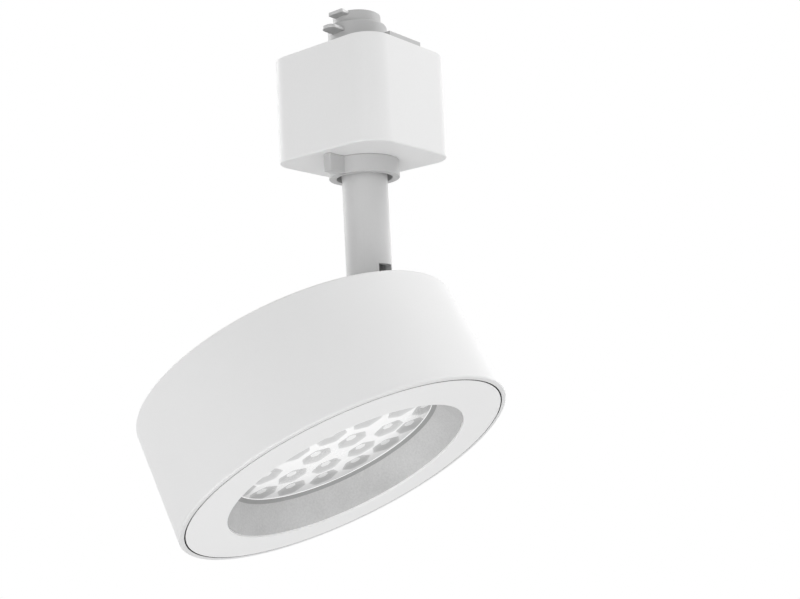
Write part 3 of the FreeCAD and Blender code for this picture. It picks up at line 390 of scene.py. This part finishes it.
def coated(name, base, dark=0.96, light=1.03, grain=2500.0, coarse=40.0, depth=0.00002,
           rough=(0.38, 0.48), metallic=0.0, coat=0.0, gloss_level=0.3):
    """A coat or moulding whose tone, gloss and surface follow the shared grain."""
    finish = bpy.data.materials.new(name)
    finish.use_nodes = True
    nodes, links = finish.node_tree.nodes, finish.node_tree.links
    shader = nodes["Principled BSDF"]
    shader.inputs["Metallic"].default_value = metallic
    shader.inputs["Coat Weight"].default_value = coat
    shader.inputs["Coat Roughness"].default_value = 0.15
    shader.inputs["Specular IOR Level"].default_value = gloss_level
    pattern = nodes.new("ShaderNodeGroup")
    pattern.node_tree = coat_grain_group()
    pattern.inputs["Scale"].default_value = grain
    pattern.inputs["Coarse scale"].default_value = coarse
    tones = nodes.new("ShaderNodeValToRGB")
    tones.color_ramp.elements[0].position = 0.3
    tones.color_ramp.elements[1].position = 0.7
    tones.color_ramp.elements[0].color = (*[c * dark for c in base], 1.0)
    tones.color_ramp.elements[1].color = (*[min(1.0, c * light) for c in base], 1.0)
    gloss = nodes.new("ShaderNodeMapRange")
    gloss.inputs["From Min"].default_value = 0.3
    gloss.inputs["From Max"].default_value = 0.7
    gloss.inputs["To Min"].default_value = rough[0]
    gloss.inputs["To Max"].default_value = rough[1]
    bump = nodes.new("ShaderNodeBump")
    bump.inputs["Strength"].default_value = 1.0
    bump.inputs["Distance"].default_value = depth
    links.new(pattern.outputs["Tone"], tones.inputs["Fac"])
    links.new(tones.outputs["Color"], shader.inputs["Base Color"])
    links.new(pattern.outputs["Tone"], gloss.inputs["Value"])
    links.new(gloss.outputs["Result"], shader.inputs["Roughness"])
    links.new(pattern.outputs["Height"], bump.inputs["Height"])
    links.new(bump.outputs["Normal"], shader.inputs["Normal"])
    return finish


def marked(finish, attribute, tint):
    """Blend the finish's colour to a tint by the mark painted on the mesh, and give the blended colour."""
    nodes, links = finish.node_tree.nodes, finish.node_tree.links
    shader = nodes["Principled BSDF"]
    tone = shader.inputs["Base Color"].links[0].from_socket
    mark = nodes.new("ShaderNodeAttribute")
    mark.attribute_name = attribute
    blend = nodes.new("ShaderNodeMix")
    blend.data_type = "RGBA"
    blend.inputs["B"].default_value = (*tint, 1.0)
    links.new(mark.outputs["Fac"], blend.inputs["Factor"])
    links.new(tone, blend.inputs["A"])
    links.new(blend.outputs["Result"], shader.inputs["Base Color"])
    return blend.outputs["Result"]


def gap_finish(name, base, rough, gloss_level):
    """Head coat whose hidden walls in the gap line are painted dark as painted shade, by the mark painted on
    the mesh.
    """
    finish = coated(name, base, 0.985, 1.012, 2600.0, 30.0, 0.00003, rough, gloss_level=gloss_level)
    marked(finish, "gap_shade", GAP_SHADE_TONE)
    return finish


def lens_finish(cell, lit_web):
    """Lens cells with painted shade and painted light: shaded grey walls, pale eyes as painted highlights and
    bright webs, by the mark painted on the mesh; the painted tone also glows as painted light.
    """
    finish = coated("lens_cells", cell, 0.97, 1.03, 1500.0, 60.0, 0.00001, (0.18, 0.3), coat=0.4)
    tone = marked(finish, "lit_web", lit_web)
    shader = finish.node_tree.nodes["Principled BSDF"]
    # Painted light: the painted tone also glows at LENS_GLOW, though the lens is no lamp
    finish.node_tree.links.new(tone, shader.inputs["Emission Color"])
    shader.inputs["Emission Strength"].default_value = LENS_GLOW
    return finish


def seen_rays(nodes, links):
    """One for the rays of the camera, of gloss and of clear pieces, and nought for all others."""
    path = nodes.new("ShaderNodeLightPath")
    seen = nodes.new("ShaderNodeMath")
    seen.operation = "MAXIMUM"
    wide = nodes.new("ShaderNodeMath")
    wide.operation = "MAXIMUM"
    links.new(path.outputs["Is Camera Ray"], seen.inputs[0])
    links.new(path.outputs["Is Glossy Ray"], seen.inputs[1])
    links.new(seen.outputs["Value"], wide.inputs[0])
    links.new(path.outputs["Is Transmission Ray"], wide.inputs[1])
    return wide.outputs["Value"]


def finishes():
    """Every finish of the spotlight, by the name of its slot."""
    # Name, colour, darkest and lightest tone, fine and coarse grain, its depth, range of gloss, metal
    made = bpy.context.scene.spotlight_colours
    return {
        "white_paint": lambda: coated(
            "head_powder_coat", made.white, 0.985, 1.012, 2600.0, 30.0, 0.00003, (0.42, 0.52), gloss_level=0.15,
        ),
        "shell_paint_gap_shade": lambda: gap_finish("shell_coat_gap_shade", made.white, (0.42, 0.52), 0.15),
        # Front ring: its white is set lighter as painted light, and its gap walls are painted dark as painted
        # shade
        "ring_paint_light_and_shade": lambda: gap_finish("front_ring_coat_painted_light_and_shade", made.lit_ring_white, (0.32, 0.38), 0.6),
        "white_plastic": lambda: coated(
            "box_moulding", made.box_white, 0.985, 1.012, 1800.0, 50.0, 0.00001, (0.42, 0.5), gloss_level=0.15,
        ),
        "grey_plastic": lambda: coated(
            "lock_moulding", made.grey, 0.97, 1.02, 1800.0, 60.0, 0.00001, (0.4, 0.5),
        ),
        "grey_paint": lambda: coated(
            "stem_powder_coat", made.stem_grey, 0.97, 1.02, 2600.0, 60.0, 0.00002, (0.4, 0.5),
        ),
        "baffle_finish": lambda: coated(
            "baffle_sand", made.baffle, 0.84, 1.12, 1700.0, 60.0, 0.0001, (0.6, 0.75), gloss_level=0.2,
        ),
        "ring_plastic": lambda: coated(
            "lens_ring_matt", made.ring, 0.94, 1.04, 2000.0, 80.0, 0.00001, (0.5, 0.6),
        ),
        "clear_acrylic": lambda: lens_finish(made.cell, made.lit_web),
        "steel": lambda: coated(
            "zinc_steel", made.steel, 0.9, 1.08, 1200.0, 200.0, 0.00001, (0.22, 0.4), 1.0, gloss_level=0.5,
        ),
        "contact_metal": lambda: coated(
            "contact_tin", made.grey, 0.95, 1.04, 1500.0, 200.0, 0.00001, (0.35, 0.45), 0.3,
        ),
        "bare_aluminium": lambda: coated(
            "cast_aluminium", made.aluminium, 0.9, 1.05, 900.0, 120.0, 0.00003, (0.35, 0.5), 1.0,
            gloss_level=0.5,
        ),
        "holder_plastic": lambda: coated(
            "holder_moulding", (0.8, 0.8, 0.8), 0.97, 1.02, 1500.0, 60.0, 0.00001, (0.45, 0.55),
        ),
        "lamp_board": lambda: coated(
            "board_mask", (0.86, 0.86, 0.84), 0.97, 1.02, 1200.0, 80.0, 0.00001, (0.25, 0.35),
        ),
        "terminal_plastic": lambda: coated(
            "nylon", (0.7, 0.7, 0.68), 0.95, 1.03, 1200.0, 80.0, 0.00001, (0.5, 0.6),
        ),
        "circuit_board": lambda: coated(
            "green_mask", (0.03, 0.1, 0.06), 0.85, 1.1, 800.0, 120.0, 0.00001, (0.25, 0.4),
        ),
        "black_plastic": lambda: coated(
            "black_moulding", (0.035, 0.035, 0.035), 0.9, 1.2, 1500.0, 120.0, 0.00001, (0.4, 0.55),
        ),
        "cable_sheath": lambda: coated(
            "sheath", (0.68, 0.68, 0.68), 0.95, 1.03, 1500.0, 90.0, 0.00001, (0.5, 0.6),
        ),
    }


def finish_for(slot):
    """The finish of a slot, made once."""
    held = bpy.context.scene.get("spotlight_finishes")
    held = dict(held) if held else {}
    if slot not in held:
        held[slot] = finishes()[slot]().name
        bpy.context.scene["spotlight_finishes"] = held
    return bpy.data.materials[held[slot]]


# ---------------------------------------------------------------- operators


class SPOTLIGHT_OT_adapter_box(bpy.types.Operator):
    """Open box with rounded upright corners and a round hole in its floor"""

    bl_idname = "spotlight.adapter_box"
    bl_label = "Adapter box"

    def execute(self, context):
        s = context.scene.spotlight_sizes
        bm = bmesh.new()
        half_x, half_y = s.box_x / 2, s.box_y / 2
        bar(bm, (-half_x, -half_y, -s.box_height), (half_x, half_y, 0.0), s.box_corner)
        under = min(bm.faces, key=lambda f: f.calc_center_median().z)
        rounded(bm, list(under.edges), s.box_edge, 4)
        rim = max(bm.faces, key=lambda f: f.calc_center_median().z)
        bmesh.ops.inset_region(bm, faces=[rim], thickness=s.box_wall, use_even_offset=True)
        hollow = bmesh.ops.extrude_discrete_faces(bm, faces=[rim])["faces"]
        bmesh.ops.translate(
            bm, vec=(0, 0, s.box_floor - s.box_height), verts=list({v for f in hollow for v in f.verts})
        )
        under = min(bm.faces, key=lambda f: f.calc_center_median().z)
        mouths = []
        for face in (under, hollow[0]):
            level = face.calc_center_median().z
            hole = bmesh.ops.create_circle(bm, cap_ends=False, radius=s.box_hole, segments=64)["verts"]
            bmesh.ops.translate(bm, vec=(0, 0, level), verts=hole)
            ring = list({e for v in hole for e in v.link_edges})
            edges = list(face.edges)
            bmesh.ops.delete(bm, geom=[face], context="FACES_ONLY")
            bmesh.ops.triangle_fill(bm, use_beauty=True, use_dissolve=False, edges=edges + ring)
            mouths += ring
        bmesh.ops.bridge_loops(bm, edges=mouths)
        bmesh.ops.recalc_face_normals(bm, faces=bm.faces)
        finish_piece(bm, "adapter_box", "adapter", ["adapter_housing"], "white_plastic")
        return {"FINISHED"}


class SPOTLIGHT_OT_lock_collar(bpy.types.Operator):
    """Collar below the box, with the lever that turns the lock"""

    bl_idname = "spotlight.lock_collar"
    bl_label = "Lock collar"

    def execute(self, context):
        s = context.scene.spotlight_sizes
        bm = bmesh.new()
        turned(bm, [
            (s.collar_bore, s.collar_low), (s.collar_radius, s.collar_low),
            (s.collar_radius, s.collar_high), (s.collar_neck, s.collar_high),
            (s.collar_neck, s.collar_top), (s.collar_bore, s.collar_top),
        ])
        soften(bm, 0.25 * MM, 3)
        start = (s.collar_bore + s.collar_radius) / 2
        lever = bmesh.new()
        bar(lever, (-s.lever_reach, -s.lever_half, s.collar_low), (-start, s.lever_half, s.collar_high))
        rounded(lever, tip_edges(lever, -s.lever_reach), 0.6 * MM, 4)
        soften(lever, 0.2 * MM, 3, 50.0)
        add_part(bm, lever)
        finish_piece(bm, "collar_and_lever", "lock", ["lock_collar"], "grey_plastic")
        return {"FINISHED"}


class SPOTLIGHT_OT_turret(bpy.types.Operator):
    """Stepped turret that enters the track"""

    bl_idname = "spotlight.turret"
    bl_label = "Turret"

    def execute(self, context):
        s = context.scene.spotlight_sizes
        bore, upper_bore = 6.4 * MM, 5.2 * MM
        shelf, roof = s.turret_step - 1.2 * MM, s.turret_top - 2.0 * MM
        bm = bmesh.new()
        turned(bm, [
            (0.0, s.turret_top), (s.turret_neck, s.turret_top), (s.turret_neck, s.turret_step),
            (s.turret_radius, s.turret_step), (s.turret_radius, s.flange_top),
            (s.flange_radius, s.flange_top), (s.flange_radius, s.flange_low), (bore, s.flange_low),
            (bore, shelf), (upper_bore, shelf), (upper_bore, roof), (0.0, roof),
        ])
        shoulder = rim_edges(bm, lambda v: (
            abs(v.co.z - s.turret_step) < NEAR and v.co.xy.length > s.turret_radius - NEAR
        ))
        rounded(bm, shoulder, 0.8 * MM, 5)
        soften(bm, 0.25 * MM, 3, 60.0)
        finish_piece(bm, "turret", "lock", ["lock_turret"], "grey_plastic")
        return {"FINISHED"}


class SPOTLIGHT_OT_contacts(bpy.types.Operator):
    """The two contact blades with their solder tabs"""

    bl_idname = "spotlight.contacts"
    bl_label = "Contact blades"

    def execute(self, context):
        thick = context.scene.spotlight_sizes.blade_thick
        tab_length = 0.9 * MM
        tip_roundings = (("live_contact", 0.5 * MM), ("neutral_contact", 1.76 * MM))
        for node, tip_rounding in tip_roundings:
            low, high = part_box(node)
            bm = bmesh.new()
            bar(bm, (low.x, low.y, high.z - thick), (high.x, high.y, high.z))
            rounded(bm, tip_edges(bm, low.x), tip_rounding, 8)
            soften(bm, 0.18 * MM, 3, 50.0)
            tab = bmesh.new()
            bar(tab, (high.x - tab_length, low.y / 2, low.z), (high.x, high.y / 2, high.z - thick / 2))
            soften(tab, 0.1 * MM, 2, 50.0)
            add_part(bm, tab)
            finish_piece(bm, node.replace("contact", "blade"), "lock", [node], "contact_metal")
        return {"FINISHED"}


class SPOTLIGHT_OT_head_shell(bpy.types.Operator):
    """Round shell of the head with its middle band"""

    bl_idname = "spotlight.head_shell"
    bl_label = "Head shell"

    def execute(self, context):
        s, places = context.scene.spotlight_sizes, context.scene.spotlight_places
        inner, band = s.head_radius - s.head_wall, s.head_radius - 3.0 * MM
        front, back = s.head_depth - 11.9 * MM, s.head_depth - 6.8 * MM
        bm = bmesh.new()
        turned(bm, [
            (s.head_radius, 0.0), (s.head_radius, s.head_depth), (inner, s.head_depth), (inner, back),
            (band, back), (band, front), (inner, front), (inner, GAP_SHADE_START), (inner, 0.0),
        ], 2 * ROUND)
        # Painted shade: the shell's inner wall behind the front is marked to be painted dark, standing for the
        # shade in the gap line
        mark_verts(bm, "gap_shade", lambda v: (
            v.co.xy.length < inner + NEAR and GAP_SHADE_START / 2 < v.co.z < front
        ))
        rims = rim_edges(bm, lambda v: v.co.xy.length > s.head_radius - NEAR)
        rounded(bm, rims, s.head_edge, 5)
        soften(bm, 0.1 * MM, 2, 60.0)
        place = head_place(places, s)
        finish_piece(bm, "drum_shell", "head", ["head_shell"], "white_paint", place, "shell_paint_gap_shade")
        return {"FINISHED"}


class SPOTLIGHT_OT_bezel(bpy.types.Operator):
    """Flat ring on the front of the head, the baffle behind it and the ring that frames the lens"""

    bl_idname = "spotlight.bezel"
    bl_label = "Bezel, baffle and lens ring"

    def execute(self, context):
        s, places = context.scene.spotlight_sizes, context.scene.spotlight_places
        place = head_place(places, s)
        lip_depth = 0.6 * MM

        outer = s.head_radius - s.head_wall - s.rim_gap
        skirt, lip = outer - s.bezel_thick, s.mouth_radius + 1.5 * MM
        bm = bmesh.new()
        turned(bm, [
            (s.mouth_radius, 0.0), (outer, 0.0), (outer, GAP_SHADE_START), (outer, s.bezel_skirt),
            (skirt, s.bezel_skirt), (skirt, s.bezel_thick), (lip, s.bezel_thick), (lip, lip_depth),
            (s.mouth_radius, lip_depth),
        ], 2 * ROUND)
        # Painted shade: the skirt's outer wall behind the front face is marked to be painted dark, standing for
        # the shade in the gap line
        mark_verts(bm, "gap_shade", lambda v: v.co.xy.length > outer - NEAR and v.co.z > GAP_SHADE_START / 2)
        rounded(bm, rim_edges(bm, lambda v: abs(v.co.z) < NEAR), 0.1 * MM, 3)
        finish_piece(bm, "front_ring", "head", ["front_bezel"], "white_paint", place, "ring_paint_light_and_shade")

        slope = (s.mouth_radius - s.throat_radius) / s.throat_depth
        front, wall, flange = s.mouth_radius - slope * lip_depth, 1.2 * MM, 1.0 * MM
        seat, rim = s.throat_depth - flange, s.lens_radius + 2.1 * MM
        bm = bmesh.new()
        turned(bm, [
            (front, lip_depth), (front + wall, lip_depth),
            (s.throat_radius + wall + slope * flange, seat), (rim, seat), (rim, s.throat_depth),
            (s.throat_radius, s.throat_depth),
        ], 2 * ROUND)
        finish_piece(bm, "baffle", "head", ["baffle_cone"], "baffle_finish", place)

        back = s.throat_depth + 0.5 * MM
        bm = bmesh.new()
        turned(bm, [
            (s.throat_radius, s.throat_depth), (s.lens_radius, s.throat_depth), (s.lens_radius, back),
            (s.ring_radius + 0.6 * MM, back), (s.ring_radius + 0.2 * MM, back + 0.37 * MM),
            (s.ring_radius, back + 0.35 * MM),
        ], 2 * ROUND)
        finish_piece(bm, "lens_frame", "head", ["lens_ring"], "ring_plastic", place)
        return {"FINISHED"}


class SPOTLIGHT_OT_lens(bpy.types.Operator):
    """Moulded lens with rings of tapered cells"""

    bl_idname = "spotlight.lens"
    bl_label = "Lens cells"

    def execute(self, context):
        s, places = context.scene.spotlight_sizes, context.scene.spotlight_places
        bm = bmesh.new()
        lit_web = bm.verts.layers.float.new("lit_web")
        plate = s.lens_radius - 0.3 * MM
        edge = bmesh.ops.create_circle(bm, cap_ends=False, radius=plate, segments=2 * ROUND)["verts"]
        outline = list({e for v in edge for e in v.link_edges})
        cells = []
        for radius, turn, count in CELL_RINGS:
            for i in range(count):
                angle = math.radians(turn + 360.0 * i / count)
                spot = Vector((radius * MM * math.cos(angle), radius * MM * math.sin(angle), 0.0))
                cell = bmesh.new()
                bmesh.ops.create_circle(cell, cap_ends=True, radius=s.cell_radius, segments=6)
                rounded(cell, list(cell.verts), s.cell_round, 4, "VERTICES")
                bmesh.ops.delete(cell, geom=list(cell.faces), context="FACES_ONLY")
                spin = Matrix.Rotation(angle, 3, "Z")
                bmesh.ops.rotate(cell, cent=(0, 0, 0), matrix=spin, verts=cell.verts)
                bmesh.ops.translate(cell, vec=spot, verts=cell.verts)
                before = set(bm.edges)
                add_part(bm, cell)
                loop = [e for e in bm.edges if e not in before]
                cells.append((spot, loop))
                outline += loop
        bmesh.ops.triangle_fill(bm, use_beauty=True, use_dissolve=False, edges=outline)

        # Steps into a cell: width and depth as shares of the cell's own, and whiteness, which is painted light
        # and shade: lighter rims and eyes, darker walls down in the cell
        eye = s.cell_eye / s.cell_radius
        steps = (
            (0.97, 0.1, 0.6), (0.92, 0.32, 0.16), (0.7, 0.6, 0.0), (eye * 1.12, 0.97, 0.0), (eye, 1.0, 0.8),
        )
        for spot, loop in cells:
            last, ring = (1.0, 0.0), loop
            for spread, depth, tone in steps:
                made = bmesh.ops.extrude_edge_only(bm, edges=ring)["geom"]
                ring = [g for g in made if isinstance(g, bmesh.types.BMEdge)]
                verts = list({v for e in ring for v in e.verts})
                bmesh.ops.scale(bm, vec=(spread / last[0], spread / last[0], 1.0), verts=verts,
                                space=Matrix.Translation(-spot))
                bmesh.ops.translate(bm, vec=(0, 0, (depth - last[1]) * s.cell_depth), verts=verts)
                for v in verts:
                    v[lit_web] = tone
                last = (spread, depth)
            centre = spot + Vector((0.0, 0.0, s.cell_depth))
            for v in {v for e in ring for v in e.verts}:
                away = v.co - centre
                v.co = centre + away.normalized() * s.cell_eye
            bmesh.ops.contextual_create(bm, geom=ring)
        bmesh.ops.recalc_face_normals(bm, faces=bm.faces)
        if sum(f.normal.z * f.calc_area() for f in bm.faces) > 0:
            bmesh.ops.reverse_faces(bm, faces=bm.faces)
        # Painted light: the webs at plate level get the full lighter tone
        for v in bm.verts:
            if v.co.z < NEAR:
                v[lit_web] = 1.0
        bmesh.ops.translate(bm, vec=(0, 0, s.web_level), verts=bm.verts)

        # Hoop painted bright and glowing where the lens frame meets the plate, a painted highlight along the
        # plate's edge
        inside, outside = s.ring_radius - 0.14 * MM, s.ring_radius + 0.15 * MM
        front = s.throat_depth + 0.87 * MM
        back = front + 0.2 * MM
        highlight_hoop = bmesh.new()
        turned(highlight_hoop, [(inside, front), (outside, front), (outside, back), (inside, back)], 2 * ROUND)
        mark_verts(highlight_hoop, "lit_web", lambda v: True)
        add_part(bm, highlight_hoop)
        finish_piece(bm, "lens_cells", "head", ["lens_array"], "clear_acrylic", head_place(places, s))
        return {"FINISHED"}


class SPOTLIGHT_OT_softened(bpy.types.Operator):
    """Pieces that keep their CAD shape and get softened edges"""

    bl_idname = "spotlight.softened"
    bl_label = "Softened pieces"

    def execute(self, context):
        for node, (body, slot, amount) in SOFTENED.items():
            bm = bmesh.new()
            bm.from_mesh(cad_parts[node].data)
            bmesh.ops.remove_doubles(bm, verts=bm.verts, dist=CAD_MERGE)
            bmesh.ops.dissolve_limit(bm, angle_limit=math.radians(0.5), verts=bm.verts, edges=bm.edges,
                                     use_dissolve_boundaries=False, delimit={"NORMAL"})
            soften(bm, amount * MM, 2, 35.0)
            bmesh.ops.triangulate(bm, faces=[f for f in bm.faces if len(f.verts) > 4])
            finish_piece(bm, node + "_finished", body, [node], slot)
        return {"FINISHED"}


class SPOTLIGHT_OT_cad_finishes(bpy.types.Operator):
    """Finishes of the CAD nodes that stay as they are"""

    bl_idname = "spotlight.cad_finishes"
    bl_label = "Finishes of the inner parts"

    def execute(self, context):
        for slot, names in CAD_FINISHES.items():
            for name in names:
                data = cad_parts[name].data
                data.materials.clear()
                data.materials.append(finish_for(slot))
        return {"FINISHED"}


class SPOTLIGHT_OT_stage(bpy.types.Operator):
    """Floor, lamps, world and camera"""

    bl_idname = "spotlight.stage"
    bl_label = "Stage"

    def execute(self, context):
        scene = context.scene
        bm = bmesh.new()
        bmesh.ops.create_circle(bm, cap_ends=True, radius=FLOOR_RADIUS, segments=64)
        bmesh.ops.translate(bm, vec=(0, 0, FLOOR_LEVEL), verts=bm.verts)
        mesh = bpy.data.meshes.new("studio_floor")
        bm.to_mesh(mesh)
        bm.free()
        floor = bpy.data.objects.new("studio_floor", mesh)
        scene.collection.objects.link(floor)
        paper = coated("floor_paper", (0.8, 0.8, 0.8), 0.99, 1.01, 300.0, 5.0, 0.00001, (0.8, 0.9))
        mesh.materials.append(paper)
        nodes, links = paper.node_tree.nodes, paper.node_tree.links
        shader = nodes["Principled BSDF"]
        lift = nodes.new("ShaderNodeMath")
        lift.operation = "MULTIPLY"
        lift.inputs[1].default_value = FLOOR_GLOW
        links.new(seen_rays(nodes, links), lift.inputs[0])
        links.new(lift.outputs["Value"], shader.inputs["Emission Strength"])
        shader.inputs["Emission Color"].default_value = (1.0, 1.0, 1.0, 1.0)

        world = bpy.data.worlds.new("studio_world")
        scene.world = world
        world.use_nodes = True
        nodes, links = world.node_tree.nodes, world.node_tree.links
        back = nodes["Background"]
        back.inputs["Color"].default_value = (1.0, 1.0, 1.0, 1.0)
        strength = nodes.new("ShaderNodeMix")
        strength.inputs["A"].default_value = WORLD_LIGHT
        strength.inputs["B"].default_value = WORLD_SEEN
        links.new(seen_rays(nodes, links), strength.inputs["Factor"])
        links.new(strength.outputs["Result"], back.inputs["Strength"])

        for name, place, power in LAMPS:
            data = bpy.data.lights.new(name, "AREA")
            data.shape = "SQUARE"
            data.size = LAMP_WIDTH
            data.energy = power
            lamp = bpy.data.objects.new(name, data)
            lamp.location = place
            lamp.rotation_euler = (LAMP_AIM - Vector(place)).to_track_quat("-Z", "Y").to_euler()
            scene.collection.objects.link(lamp)

        camera_data = bpy.data.cameras.new("camera")
        camera_data.lens = CAMERA_LENS
        camera_data.clip_start = 0.01
        camera = bpy.data.objects.new("camera", camera_data)
        camera.location = CAMERA_PLACE
        camera.rotation_euler = (
            CAMERA_AHEAD.to_track_quat("-Z", "Y").to_matrix() @ Matrix.Rotation(CAMERA_ROLL, 3, "Z")
        ).to_euler()
        scene.collection.objects.link(camera)
        scene.camera = camera
        scene.view_settings.view_transform = "Standard"
        return {"FINISHED"}


OPERATORS = (
    SPOTLIGHT_OT_adapter_box,
    SPOTLIGHT_OT_lock_collar,
    SPOTLIGHT_OT_turret,
    SPOTLIGHT_OT_contacts,
    SPOTLIGHT_OT_head_shell,
    SPOTLIGHT_OT_bezel,
    SPOTLIGHT_OT_lens,
    SPOTLIGHT_OT_softened,
    SPOTLIGHT_OT_cad_finishes,
    SPOTLIGHT_OT_stage,
)


class SPOTLIGHT_PT_panel(bpy.types.Panel):
    """Sizes, colours and pieces of the spotlight"""

    bl_idname = "SPOTLIGHT_PT_panel"
    bl_label = "Track spotlight"
    bl_space_type = "VIEW_3D"
    bl_region_type = "UI"
    bl_category = "Spotlight"

    def draw(self, context):
        scene = context.scene
        for held in (scene.spotlight_sizes, scene.spotlight_colours, scene.spotlight_places):
            box = self.layout.box()
            for key in held.__annotations__:
                box.prop(held, key)
        for step in OPERATORS:
            self.layout.operator(step.bl_idname)


CLASSES = (SpotlightSizes, SpotlightColours, SpotlightPlaces, *OPERATORS, SPOTLIGHT_PT_panel)


def register():
    for item in CLASSES:
        bpy.utils.register_class(item)
    bpy.types.Scene.spotlight_sizes = bpy.props.PointerProperty(type=SpotlightSizes)
    bpy.types.Scene.spotlight_colours = bpy.props.PointerProperty(type=SpotlightColours)
    bpy.types.Scene.spotlight_places = bpy.props.PointerProperty(type=SpotlightPlaces)


def unregister():
    del bpy.types.Scene.spotlight_places
    del bpy.types.Scene.spotlight_colours
    del bpy.types.Scene.spotlight_sizes
    for item in reversed(CLASSES):
        bpy.utils.unregister_class(item)


def main():
    register()
    for step in OPERATORS:
        group, name = step.bl_idname.split(".")
        getattr(getattr(bpy.ops, group), name)()


if __name__ == "__main__":
    main()
